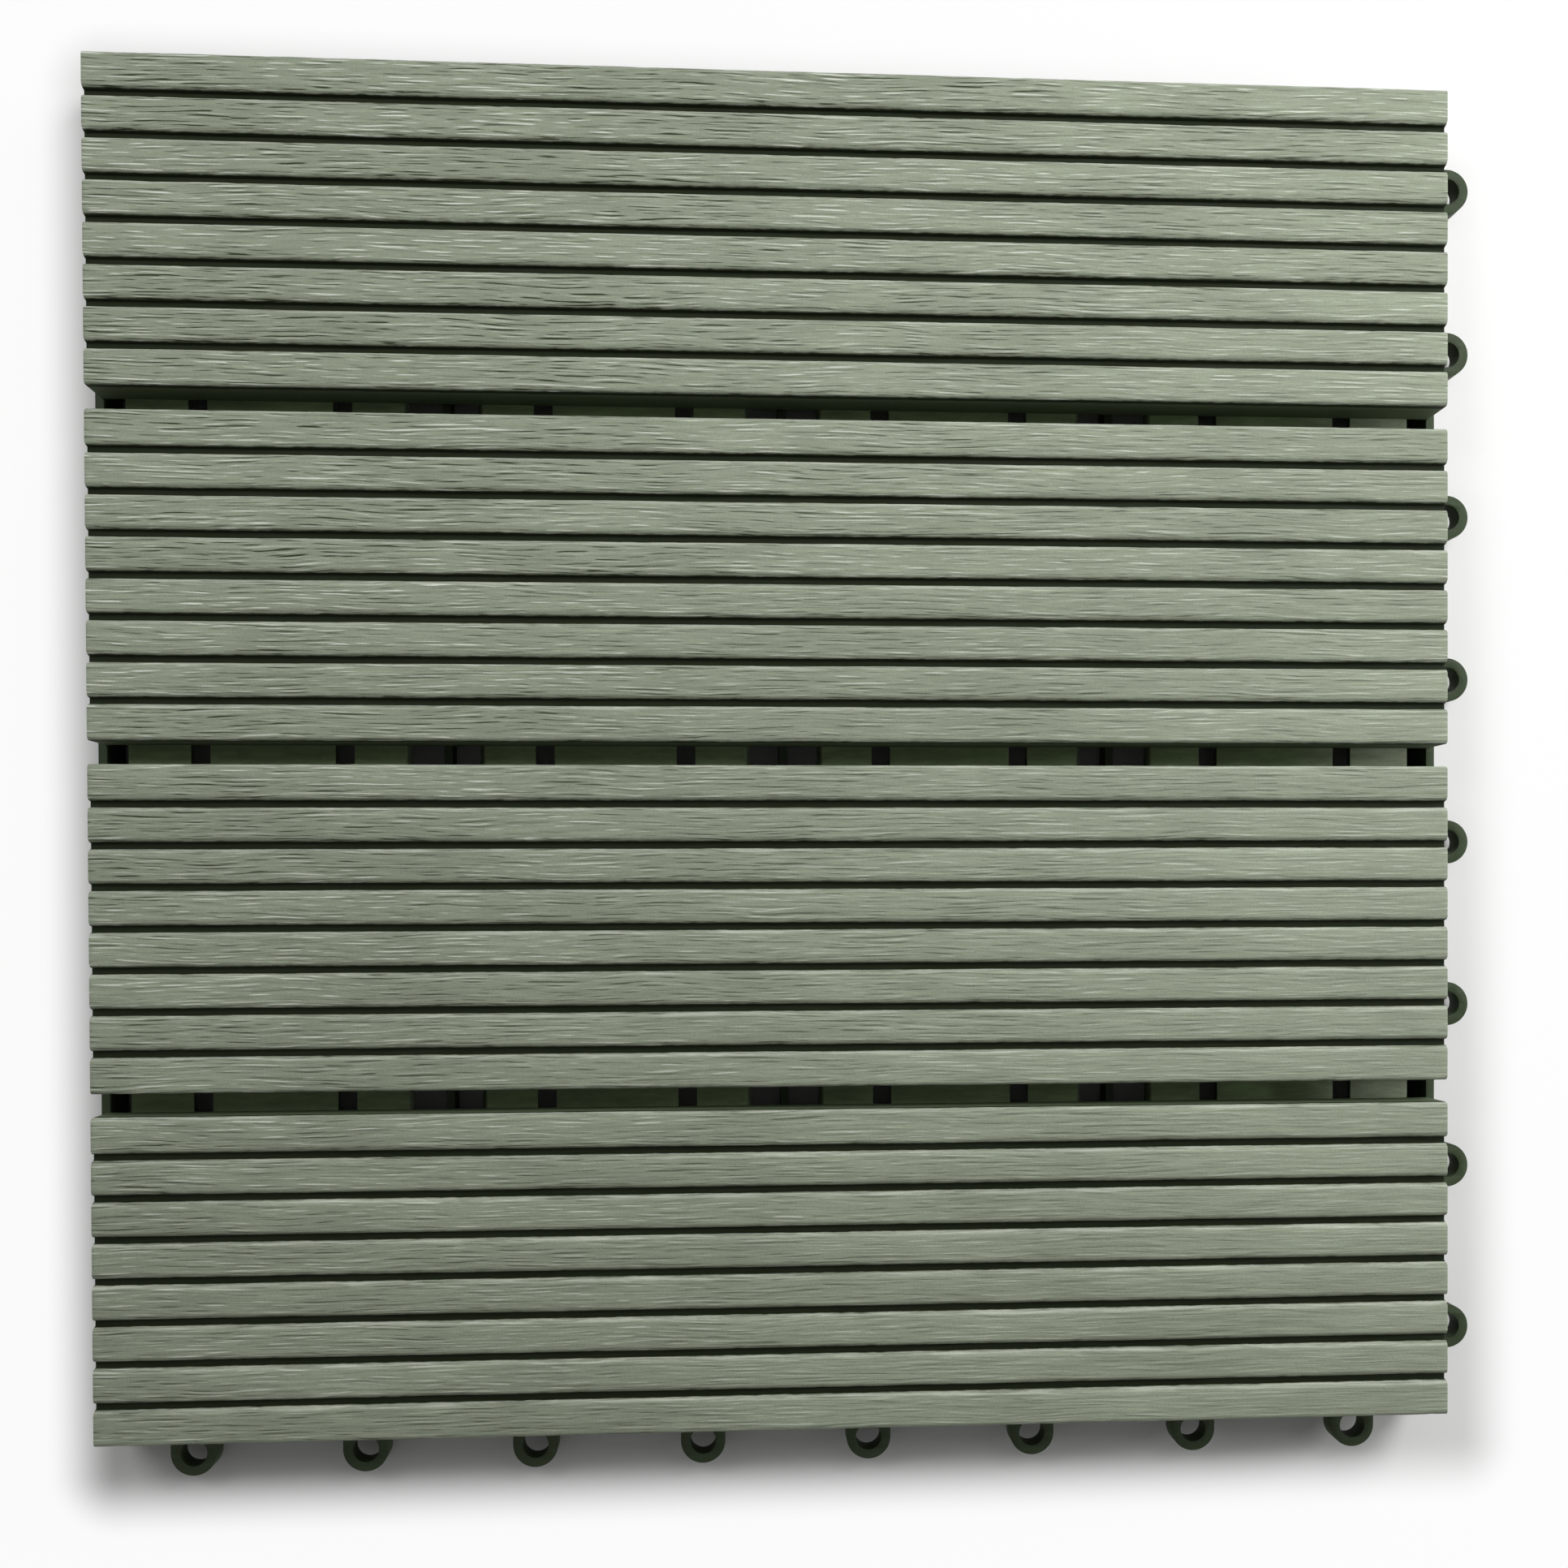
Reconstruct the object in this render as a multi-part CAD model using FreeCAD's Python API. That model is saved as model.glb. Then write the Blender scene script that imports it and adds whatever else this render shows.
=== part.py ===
"""Interlocking deck tile: four grooved composite slats screwed from below to a one-piece plastic base.

Millimetres. The origin is on the ground under the tile's centre, +Z is up and the slats run along X.
Snap loops stand out of the base on +X and -Y. Split pegs hang under its edge on -X and +Y, where they
drop into the loops of the next tile.
"""
import FreeCAD, Part
import math
import os

# The tile as laid
TILE_PITCH = 300.0          # from one tile's centre to the next one's
TILE_JOINT = 2.0            # left between the bases of two tiles
SLATS = 4
DRAIN_GAP = 5.0             # between slats, in a tile and from one tile to the next
LOOPS_A_SIDE = 8

# Slats
SLAT_THICK = 10.5
SLAT_EDGE_ROUND = 1.0
SLAT_END_CHAMFER = 0.6
GROOVES = 7
GROOVE_PITCH = 8.85
GROOVE_MOUTH = 1.9
GROOVE_FLOOR = 1.2
GROOVE_DEPTH = 1.8

# Base moulding
BASE_HEIGHT = 11.5
BASE_CORNER_ROUND = 2.5
PLATE_THICK = 2.0
RIM_WALL = 1.9
RIB_WALL = 1.8
RIB_CLEARANCE = 1.6         # from the ground up to the ribs' lower edges
MODULES = 4                 # repeats of the pattern of ribs and slots along X
RIB_OFFSET = 9.3            # from a module's centre line to each of its two inner ribs
SLOT_WIDTH = 4.1
SLOT_LENGTH = 22.0
SLOT_OFFSET = 15.5          # from a module's centre line to each of its two slots
WELL_SIDE = 15.0            # square drain openings at the modules' corners
WELL_CHAMFER = 1.1
WELL_SINK = 2.2             # how far the rib that crosses a well lies under the plate
END_SLOT_WIDTH = 4.5
END_SLOT_LENGTH = 16.0
FOOT_R = 4.2
FOOT_SIDES = 8
FOOT_ROOT = 1.4             # how far a foot runs up into the ribs

# Snap loops and pegs
EYE_R = 2.9
LOOP_WALL = 2.1
LOOP_REACH = 4.75           # from the rim's face out to the eye's centre
LOOP_DROP = 4.0             # from the plate's top down to the loop's top
LOOP_THICK = 5.1
PEG_PLAY = 0.5              # between a peg and the eye, across its flats
PEG_BEVEL = 1.2             # left off each of the peg's upright corners
PEG_BARB = 0.15             # how far the barb stands past the eye's wall
BARB_CLEARANCE = 0.15       # from the loop's underside down to the barb
PEG_TIP = 2.0               # height of the tapered tip under the barb's ledge
PEG_TIP_TAPER = 1.0
PEG_SPLIT = 0.9
POCKET_PLAY = 0.5           # round a neighbour's loop under the edge

# Screws
SCREWS_A_SLAT_X = 2
SCREWS_A_SLAT_Y = 2
SCREW_OFFSET = 1.25         # from an outer module's centre line inwards to its screws
SCREW_R = 1.75
SCREW_GRIP = 7.5            # how far the shank runs into a slat
SHANK_SIDES = 8             # small hidden round things are drawn with a few flats
HEAD_R = 3.5
HEAD_SIDES = 12
HEAD_HEIGHT = 2.2
HOLE_PLAY = 0.25            # between the shank and the hole in the plate
PILOT_END = 0.4             # left past the screw's end

# Sizes that follow
LOOP_PITCH = TILE_PITCH / LOOPS_A_SIDE
SLAT_PITCH = TILE_PITCH / SLATS
SLAT_WIDTH = SLAT_PITCH - DRAIN_GAP
SLAT_LENGTH = TILE_PITCH - DRAIN_GAP
BASE_SIDE = TILE_PITCH - TILE_JOINT
BASE_EDGE = BASE_SIDE / 2
MODULE = BASE_SIDE / MODULES
PLATE_UNDER = BASE_HEIGHT - PLATE_THICK
LOOP_R = EYE_R + LOOP_WALL
LOOP_TOP = BASE_HEIGHT - LOOP_DROP
LOOP_UNDER = LOOP_TOP - LOOP_THICK
EYE_X = BASE_EDGE + LOOP_REACH
PEG_X = TILE_PITCH - EYE_X
PEG_R = EYE_R - PEG_PLAY
POCKET_X = TILE_PITCH - EYE_X - LOOP_R - POCKET_PLAY
POCKET_TOP = LOOP_TOP + POCKET_PLAY
SCREW_ROW = SLAT_PITCH / (2 * SCREWS_A_SLAT_Y)
SCREW_X = MODULE * (MODULES - 1) / 2 - SCREW_OFFSET
OVERCUT = 1.0               # how far a cutter runs past the face it opens

UP = FreeCAD.Vector(0, 0, 1)


def vec(x, y, z=0.0):
    return FreeCAD.Vector(x, y, z)


def spread(count, pitch):
    """Positions of a row of things about zero."""
    return [(i - (count - 1) / 2) * pitch for i in range(count)]


def block(x0, x1, y0, y1, z0, z1):
    return Part.makeBox(x1 - x0, y1 - y0, z1 - z0, vec(x0, y0, z0))


def centred_block(x, y, size_x, size_y, z0, z1):
    return block(x - size_x / 2, x + size_x / 2, y - size_y / 2, y + size_y / 2, z0, z1)


def rod(x, y, r, z0, z1):
    return Part.makeCylinder(r, z1 - z0, vec(x, y, z0))


def rounded_plate(size_x, size_y, corner, z0, z1):
    slab = centred_block(0, 0, size_x, size_y, z0, z1)
    upright = [e for e in slab.Edges if abs(e.tangentAt(e.FirstParameter).z) > 0.5]
    return slab.makeFillet(corner, upright)


def faceted_rod(x, y, sides, r, z0, z1):
    """An upright rod with flats, one of which faces +X."""
    angles = [(side + 0.5) * 2 * math.pi / sides for side in range(sides + 1)]
    corners = [vec(x + r * math.cos(a), y + r * math.sin(a), z0) for a in angles]
    return Part.Face(Part.makePolygon(corners)).extrude(UP * (z1 - z0))


def square_rod(reach, z0, z1):
    """An upright square rod with its corners on the X and Y axes."""
    corners = [vec(reach, 0, z0), vec(0, reach, z0), vec(-reach, 0, z0), vec(0, -reach, z0)]
    return Part.Face(Part.makePolygon(corners + corners[:1])).extrude(UP * (z1 - z0))


def prism(outline, across):
    """A profile of (across X, height) points, carried through the given length centred on Y = 0."""
    section = Part.Face(Part.makePolygon([vec(x, -across / 2, z) for x, z in outline + outline[:1]]))
    return section.extrude(vec(0, across))


def moved(shape, x, y):
    copy = shape.copy()
    copy.translate(vec(x, y))
    return copy


def on_side(shape, quarter_turns):
    """A shape made for the +X side, brought round to another side of the square."""
    copy = shape.copy()
    copy.rotate(vec(0, 0, 0), UP, 90 * quarter_turns)
    return copy


# Slats
def groove_cutter(y):
    """One groove's trapezium, run past both ends of the slat."""
    top = BASE_HEIGHT + SLAT_THICK
    slope = (GROOVE_MOUTH - GROOVE_FLOOR) / 2 / GROOVE_DEPTH
    mouth = GROOVE_MOUTH / 2 + slope * OVERCUT
    floor = GROOVE_FLOOR / 2
    end = SLAT_LENGTH / 2 + OVERCUT
    corners = [
        vec(-end, y - mouth, top + OVERCUT),
        vec(-end, y - floor, top - GROOVE_DEPTH),
        vec(-end, y + floor, top - GROOVE_DEPTH),
        vec(-end, y + mouth, top + OVERCUT),
    ]
    section = Part.Face(Part.makePolygon(corners + corners[:1]))
    return section.extrude(vec(2 * end, 0))


def on_upper_end(edge, top):
    """Whether this is the straight edge across the top of a slat's end."""
    box = edge.BoundBox
    return box.ZMin > top - SLAT_EDGE_ROUND / 2 and box.XLength < SLAT_EDGE_ROUND / 2


def make_slat(y):
    top = BASE_HEIGHT + SLAT_THICK
    board = centred_block(0, 0, SLAT_LENGTH, SLAT_WIDTH, BASE_HEIGHT, top)
    upper = [e for e in board.Edges if e.BoundBox.ZMin > top - OVERCUT / 2]
    board = board.makeFillet(SLAT_EDGE_ROUND, [e for e in upper if e.BoundBox.XLength > SLAT_WIDTH])
    ends = [e for e in board.Edges if on_upper_end(e, top)]
    board = board.makeChamfer(SLAT_END_CHAMFER, ends)
    cutters = [groove_cutter(groove_y) for groove_y in spread(GROOVES, GROOVE_PITCH)]
    for screw_x, screw_y in screw_places(0):
        pilot_top = BASE_HEIGHT + SCREW_GRIP + PILOT_END
        pilot = faceted_rod(screw_x, screw_y, SHANK_SIDES, SCREW_R, BASE_HEIGHT - OVERCUT, pilot_top)
        cutters.append(pilot)
    slat = board.cut(Part.makeCompound(cutters))
    slat.translate(vec(0, y))
    return slat.Solids[0]


# Screws
def screw_places(slat_y):
    """Where the screws of the slat centred on slat_y stand."""
    columns = spread(SCREWS_A_SLAT_X, 2 * SCREW_X / (SCREWS_A_SLAT_X - 1))
    rows = spread(SCREWS_A_SLAT_Y, 2 * SCREW_ROW)
    return [(x, slat_y + y) for x in columns for y in rows]


def make_screw(x, y):
    """A pan-head screw driven upwards, its head against the plate's underside."""
    head = faceted_rod(x, y, HEAD_SIDES, HEAD_R, PLATE_UNDER - HEAD_HEIGHT, PLATE_UNDER)
    shank = faceted_rod(x, y, SHANK_SIDES, SCREW_R, PLATE_UNDER, BASE_HEIGHT + SCREW_GRIP)
    return head.fuse(shank).Solids[0]


# Base moulding
def rib_lines_x():
    """Centre lines of the ribs that run along Y: on the module boundaries and a pair inside each."""
    pairs = [x + side * RIB_OFFSET for x in spread(MODULES, MODULE) for side in (-1, 1)]
    return sorted(spread(MODULES - 1, MODULE) + pairs)


def rib_lines_y():
    """Centre lines of the ribs that run along X: under each slat's middle and flanking the pockets.

    None runs along a drain gap, so only the ribs that cross the gaps show from above.
    """
    flank = LOOP_R + POCKET_PLAY + RIB_WALL / 2
    lines = spread(SLATS, SLAT_PITCH)
    for number, y in enumerate(spread(LOOPS_A_SIDE, LOOP_PITCH)):
        lines.append(y - flank if number % 2 == 0 else y + flank)
    return sorted(lines)


def openings_between(lines):
    """Spans left open between neighbouring ribs and inside the rim."""
    inner = BASE_EDGE - RIM_WALL
    starts = [-inner] + [line + RIB_WALL / 2 for line in lines]
    ends = [line - RIB_WALL / 2 for line in lines] + [inner]
    return list(zip(starts, ends))


def make_lattice():
    """A square sheet pierced by the cells: its rim reaches the ground, its ribs stop short of it."""
    outline = rounded_plate(BASE_SIDE, BASE_SIDE, BASE_CORNER_ROUND, 0, PLATE_UNDER)
    sheet = [f for f in outline.Faces if f.BoundBox.ZMax < OVERCUT][0]
    wires = [sheet.OuterWire]
    for x0, x1 in openings_between(rib_lines_x()):
        for y0, y1 in openings_between(rib_lines_y()):
            corners = [vec(x0, y0), vec(x1, y0), vec(x1, y1), vec(x0, y1), vec(x0, y0)]
            wires.append(Part.makePolygon(corners))
    pierced = Part.makeFace(wires, "Part::FaceMakerCheese")
    inside = 2 * (BASE_EDGE - RIM_WALL)
    under_ribs = centred_block(0, 0, inside, inside, -OVERCUT, RIB_CLEARANCE)
    return pierced.extrude(UP * PLATE_UNDER).cut(under_ribs)


def make_feet():
    """Eight-sided pads where the ribs of the module boundaries and the slats' middles cross."""
    pad = faceted_rod(0, 0, FOOT_SIDES, FOOT_R, 0, RIB_CLEARANCE + FOOT_ROOT)
    columns = spread(MODULES - 1, MODULE)
    return [moved(pad, x, y) for x in columns for y in spread(SLATS, SLAT_PITCH)]


def all_screw_places():
    return [place for y in spread(SLATS, SLAT_PITCH) for place in screw_places(y)]


def screw_hole_cutters():
    r = SCREW_R + HOLE_PLAY
    top = BASE_HEIGHT + OVERCUT
    return [faceted_rod(x, y, SHANK_SIDES, r, PLATE_UNDER, top) for x, y in all_screw_places()]


def slot_cutters():
    """Drain slots across the gaps: two to a module, and a wider one inside the rim at each end."""
    top = BASE_HEIGHT + OVERCUT
    end_x = BASE_EDGE - RIM_WALL - END_SLOT_WIDTH / 2
    cutters = []
    for y in spread(SLATS - 1, SLAT_PITCH):
        for module_x in spread(MODULES, MODULE):
            for x in (module_x - SLOT_OFFSET, module_x + SLOT_OFFSET):
                cutters.append(centred_block(x, y, SLOT_WIDTH, SLOT_LENGTH, PLATE_UNDER, top))
        for x in (-end_x, end_x):
            cutters.append(centred_block(x, y, END_SLOT_WIDTH, END_SLOT_LENGTH, PLATE_UNDER, top))
    return cutters


def well_cutters():
    """Square openings in the gaps at the modules' corners, with eased edges and a sunk rib across."""
    half = WELL_SIDE / 2
    floor = PLATE_UNDER - WELL_SINK
    ease = BASE_HEIGHT - WELL_CHAMFER
    wide = half + WELL_CHAMFER + OVERCUT
    top = BASE_HEIGHT + OVERCUT
    outline = [(-half, floor), (half, floor), (half, ease), (wide, top), (-wide, top), (-half, ease)]
    well = prism(outline, WELL_SIDE)
    columns = spread(MODULES - 1, MODULE)
    return [moved(well, x, y) for x in columns for y in spread(SLATS - 1, SLAT_PITCH)]


def make_loop(y):
    """A U-shaped tab on the +X side with a round eye that a peg snaps into."""
    root = BASE_EDGE - RIM_WALL
    leg = [vec(root, y + LOOP_R), vec(root, y - LOOP_R)]
    turn = Part.Arc(vec(EYE_X, y - LOOP_R), vec(EYE_X + LOOP_R, y), vec(EYE_X, y + LOOP_R))
    edges = [
        Part.makeLine(leg[0], leg[1]),
        Part.makeLine(leg[1], vec(EYE_X, y - LOOP_R)),
        turn.toShape(),
        Part.makeLine(vec(EYE_X, y + LOOP_R), leg[0]),
    ]
    tab = Part.Face(Part.Wire(edges)).extrude(UP * LOOP_THICK)
    tab.translate(UP * LOOP_UNDER)
    return tab.cut(rod(EYE_X, y, EYE_R, LOOP_UNDER - OVERCUT, LOOP_TOP + OVERCUT))


def pocket_cutter(y):
    """Room under the +X edge for a neighbour's loop and for the peg that snaps into it."""
    half = LOOP_R + POCKET_PLAY
    return block(POCKET_X, BASE_EDGE + OVERCUT, y - half, y + half, -OVERCUT, POCKET_TOP)


def make_peg(y):
    """A split peg whose two halves carry barbs that spring out under the loop.

    The barbs face along the edge, so the split runs across it.
    """
    barb = EYE_R + PEG_BARB
    barb_top = LOOP_UNDER - BARB_CLEARANCE
    tip = barb_top - PEG_TIP
    split = PEG_SPLIT / 2
    split_top = (PLATE_UNDER + barb_top) / 2 - OVERCUT
    half = [
        (PEG_R, PLATE_UNDER),
        (PEG_R, barb_top),
        (barb, barb_top),
        (barb - PEG_TIP_TAPER, tip),
        (split, tip),
        (split, split_top),
    ]
    outline = half + [(-x, z) for x, z in reversed(half)]
    bevelled = square_rod(2 * PEG_R - PEG_BEVEL, tip, PLATE_UNDER)
    peg = prism(outline, 2 * PEG_R).common(bevelled)
    peg.rotate(vec(0, 0, 0), UP, 90)
    return moved(peg, PEG_X, y)


def make_base():
    places = spread(LOOPS_A_SIDE, LOOP_PITCH)
    loop_sides = (0, 3)
    peg_sides = (2, 1)
    plate = rounded_plate(BASE_SIDE, BASE_SIDE, BASE_CORNER_ROUND, PLATE_UNDER, BASE_HEIGHT)
    body = make_lattice().fuse([plate] + make_feet())
    pockets = [on_side(pocket_cutter(y), side) for side in peg_sides for y in places]
    cutters = pockets + screw_hole_cutters() + slot_cutters() + well_cutters()
    body = body.cut(cutters)
    loops = [on_side(make_loop(y), side) for side in loop_sides for y in places]
    pegs = [on_side(make_peg(y), side) for side in peg_sides for y in places]
    return body.fuse(loops + pegs).removeSplitter().Solids[0]


def write(name, shape):
    shape.exportStep(os.path.join("parts", name + ".step"))
    print(name, "solids", len(shape.Solids), "volume cm3", round(shape.Volume / 1000, 2))


os.makedirs("parts", exist_ok=True)
write("base_grid", make_base())
for number, slat_y in enumerate(reversed(spread(SLATS, SLAT_PITCH)), 1):
    write("slat_" + str(number), make_slat(slat_y))
write("slat_screws", Part.makeCompound([make_screw(x, y) for x, y in all_screw_places()]))
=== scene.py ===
import math

import bmesh
import bpy
from bpy.props import FloatProperty, FloatVectorProperty, IntProperty, PointerProperty
from bpy.types import Operator, Panel, PropertyGroup
from mathutils import Euler, Matrix, Vector, noise


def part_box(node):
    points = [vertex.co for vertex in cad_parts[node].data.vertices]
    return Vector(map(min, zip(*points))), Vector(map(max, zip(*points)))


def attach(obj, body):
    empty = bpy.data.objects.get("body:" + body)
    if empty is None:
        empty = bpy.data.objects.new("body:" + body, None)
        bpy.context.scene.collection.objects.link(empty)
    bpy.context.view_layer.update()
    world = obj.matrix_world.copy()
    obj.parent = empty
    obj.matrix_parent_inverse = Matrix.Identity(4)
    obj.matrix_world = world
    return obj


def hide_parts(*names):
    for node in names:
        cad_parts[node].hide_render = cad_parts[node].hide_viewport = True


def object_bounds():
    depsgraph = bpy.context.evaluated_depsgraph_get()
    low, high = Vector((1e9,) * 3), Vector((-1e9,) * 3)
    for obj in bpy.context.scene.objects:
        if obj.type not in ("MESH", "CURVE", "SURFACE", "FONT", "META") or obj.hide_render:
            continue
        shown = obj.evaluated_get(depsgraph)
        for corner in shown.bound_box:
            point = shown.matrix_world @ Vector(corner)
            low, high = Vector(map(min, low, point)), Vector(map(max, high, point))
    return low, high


bl_info = {
    "name": "Interlocking Deck Tile",
    "version": (1, 0, 0),
    "blender": (4, 5, 0),
    "location": "3D View > Sidebar > Deck Tile",
    "description": "Brushed composite slats on a snap-together base, with its screws and stage",
    "category": "Add Mesh",
}

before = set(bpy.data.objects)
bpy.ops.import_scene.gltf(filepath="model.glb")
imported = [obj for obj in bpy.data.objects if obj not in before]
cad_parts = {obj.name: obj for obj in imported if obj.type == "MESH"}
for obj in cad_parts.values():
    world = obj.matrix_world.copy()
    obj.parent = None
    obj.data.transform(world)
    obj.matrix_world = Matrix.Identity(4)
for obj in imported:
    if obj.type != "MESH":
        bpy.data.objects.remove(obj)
CAD_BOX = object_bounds()
IMAGE_PX = 1932
MM = 0.001
SLAT_NODES = ("slat_1", "slat_2", "slat_3", "slat_4")
DECK_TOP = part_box("slat_1")[1].z
SLAT_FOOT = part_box("slat_1")[0].z

# Finding the edges to ease
TOUCHING = 0.01 * MM  # how near to a face a point still counts as on it
EDGE_BAND = 1.0 * MM  # how far under the deck a slat's upper edges are looked for
STRAIGHT = 0.999  # share of an edge's length that has to run along an axis
LONG_SHARE = 0.9  # share of a slat's length from which an edge is cut into slices
UPRIGHT_SHARE = 0.4  # share of the groove's depth that a rib's corner rises at least
RIB_TURN = math.radians(60)  # least turn between the faces at a rib's corner
LIP_TURN = math.radians(40)  # least turn at a lip
BASE_TURN = math.radians(35)  # least turn at an edge of the base

# Wear along the lips
SEED_STEPS = (17.3, 3.7)  # how far apart two seeds lie in the noise
SLAT_SEED, LIP_SEED, SIDE_SEED, NICK_SEED = 31.0, 713.0, 5.3, 2.9
LIP_REACH = 2.2  # lip radii past the groove's mouth that wear still reaches
WEAR_DEPTH = 0.95  # share of the groove's depth under which nothing is worn
NICK_FROM = 0.12  # where the noise is lower, a lip has no nick
NICK_GAIN = 1.6
WANDER_DROP, NICK_DROP = 0.3, 0.5  # how far a lip sinks, as shares of its shifts

# Screws
SCREW_MERGE = 0.002 * MM
SCREW_TURN = 1.9  # from one screw to the next, in radians, so that their recesses differ
RECESS_TAPER = 0.7
CROWN_REACH = 0.8  # crown heights by which the head's flat face is smaller than the head
CROWN_TURNS = (30, 60, 90)  # degrees round the head's rim
TIP_R = 0.05 * MM
THREAD_START = 0.4 * MM  # above the plate's underside
THREAD_ROOT = 0.97  # core radii from the axis to the thread's root
THREAD_HALF = 0.28  # pitches from the thread's crest to either root
THREAD_STEPS = 16  # in one turn

# Noise cells a metre along X, Y and Z
SWAY_CELLS = (26.0, 90.0, 90.0)
FIBRE_CELLS = (60.0, 1500.0, 1500.0)
STREAK_CELLS = (104.0, 1850.0, 1850.0)
CLOUD_CELLS = (24.0, 110.0, 110.0)
RAGGED_CELLS = (330.0, 900.0, 900.0)
SCUFF_CELLS = (90.0, 420.0, 300.0)

# Ranges that the materials share
SPREAD = (0.3, 0.7)  # where nearly all of a noise's values lie
TIGHT = (0.35, 0.65)
UNEVEN = (0.93, 1.07)  # how much a tone varies
MATT = 0.15  # both plastics' specular level

# Composite
SWAY = 0.5 * MM  # how far the fibres wander sideways
RAGGED = 0.16 * MM  # how ragged the upper limit of the skin and its painted groove shade is
FIBRE_TONES = (0.84, 1.13)
PALE_SLOPE = (0.12, 0.23)
DARK_SLOPE = (-0.09, -0.2)
STREAK_REACH = (-200 * MM, 280 * MM)  # X less Y over which the streaks fade
STREAK_DEPTH = (1.2, 0.15)
# Depths over which the unbrushed skin comes in; in the grooves its colour is also painted shade
SKIN_AND_SHADE_BAND = (DECK_TOP - 0.4 * MM, DECK_TOP - 1.0 * MM)
FLANK_BAND = (DECK_TOP - 2.0 * MM, DECK_TOP - 2.8 * MM)

# Painted light on the base in the drain gaps
GAP_LIGHT_BAND = (SLAT_FOOT - 0.6 * MM, SLAT_FOOT - 0.2 * MM)
GAP_LIGHT_MARGIN = 5 * MM  # how far inside the tile's side it ends
# X over which the painted light at the gaps' right ends comes in
END_LIGHT_BAND = (112 * MM, 138 * MM)

# Stage
SENSOR_MM = 36.0
GROUND_HALF = 12.0  # in metres
WHITE_NEAR = 0.93  # share of white in the ground just past the tile's shadow
WHITE_REST = (0.2, 1.2)  # metres out over which the rest of the white comes in
LAMPS = (  # name, place in metres, width and depth, and the setting of its power
    ("key_lamp", (0.34, 0.30, 0.44), (0.3, 0.3), "key_power"),
    ("top_lamp", (0.05, 0.30, 0.8), (2.4, 0.16), "top_power"),
    ("low_lamp", (0.7, 0.0, 0.15), (0.5, 0.1), "low_power"),
    ("left_lamp", (-0.3, 0.26, 0.5), (0.3, 0.2), "left_power"),
)


def length(name, description, value_mm):
    """A size property that is written in millimetres and kept in metres."""
    return FloatProperty(
        name=name,
        description=description,
        default=value_mm * MM,
        min=0.0,
        precision=5,
        subtype="DISTANCE",
        unit="LENGTH",
    )


def colour(name, description, srgb):
    """A colour property, given as 8-bit display values and kept as linear ones."""
    linear = [c / 255 / 12.92 if c < 10.3 else ((c / 255 + 0.055) / 1.055) ** 2.4 for c in srgb]
    return FloatVectorProperty(
        name=name,
        description=description,
        size=3,
        default=linear,
        min=0.0,
        max=1.0,
        subtype="COLOR",
    )


def power(name, way, watts):
    """A lamp's power, with the way that its light comes."""
    return FloatProperty(name=name, description="Power in watts, " + way, default=watts, min=0.0)


class SlatSizes(PropertyGroup):
    grooves: IntProperty(name="Grooves", description="Grooves along each slat", default=7, min=1)
    groove_pitch: length("Groove pitch", "From one groove's middle to the next one's", 8.85)
    groove_mouth: length("Groove mouth", "Width of a groove at the deck's surface", 1.9)
    groove_floor: length("Groove floor", "Width of a groove at its floor", 1.2)
    groove_depth: length("Groove depth", "Depth of a groove", 1.8)
    edge_round: length("Edge round", "Radius along a slat's two upper edges", 1.0)
    lip_round: length("Lip round", "Radius along the grooves' lips and round the ribs' ends", 0.3)
    corner_round: length("Corner round", "Radius at the ribs' and slats' corners, from above", 0.9)
    lip_wander: length("Lip wander", "How far brushing has moved a groove's lips to and fro", 0.15)
    wander_length: length("Wander length", "Usual length of one such wave", 12.0)
    fray: length("Fray", "Depth of the small nicks along the lips", 0.13)
    fray_length: length("Fray length", "Usual length of one nick", 2.4)
    slice_length: length("Slice length", "Length of the mesh's pieces along a slat", 0.8)


class BaseSizes(PropertyGroup):
    edge_round: length("Edge round", "Radius on the moulding's edges", 0.22)
    merge_gap: length("Merge gap", "Points closer than this are one point", 0.002)
    plate_thick: length("Plate thickness", "Thickness of the plate under the slats", 2.0)


class ScrewSizes(PropertyGroup):
    head_r: length("Head radius", "Radius of the pan head", 3.5)
    crown: length("Head crown", "Height of the head's rounded rim", 0.9)
    recess_width: length("Recess width", "Width of the cross recess's arms", 0.95)
    recess_span: length("Recess span", "Length across the cross recess", 4.0)
    recess_depth: length("Recess depth", "Depth of the cross recess", 1.2)
    core_r: length("Core radius", "Radius of the shank between the threads", 1.2)
    thread_r: length("Thread radius", "Radius over the threads", 1.72)
    thread_pitch: length("Thread pitch", "Rise of the thread in one turn", 1.5)
    point: length("Point", "Length of the pointed end", 1.6)


class FinishColours(PropertyGroup):
    brushed: colour("Brushed face", "Composite where the surface has been brushed", (144, 152, 133))
    # Pale fibres; also the painted highlight of the streaks and of the lips that face +Y
    pale_fibre_and_highlight: colour("Light fibre", "Pale fibres that the brushing laid bare", (214, 219, 207))
    fibre_dark: colour("Dark fibre", "Shaded scratches between the fibres", (44, 53, 32))
    # Partly the unbrushed skin, partly painted shade: far darker than the flank so that the grooves
    # look shaded
    skin: colour("Groove skin", "Unbrushed composite in the grooves", (25, 33, 16))
    flank: colour("Flank", "Unbrushed composite on the slats' sides and ends", (86, 98, 74))
    plastic: colour("Base plastic", "Moulded base", (47, 58, 38))
    plastic_worn: colour("Worn plastic", "Scuffed or dusty base plastic", (76, 87, 66))
    # Painted light: paler colour for the plate's upward faces in the drain gaps, in patches
    painted_gap_light: colour("Dust", "Dust that settles on the base in the drain gaps", (130, 148, 108))
    # Painted light: a still paler colour at the right ends of the gaps
    painted_end_light: colour("Drift", "Paler dust at the right ends of the gaps", (196, 206, 180))
    steel: colour("Screw steel", "Zinc plated screws", (176, 178, 174))
    ground: colour("Ground", "Ground round the tile", (232, 232, 231))


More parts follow.
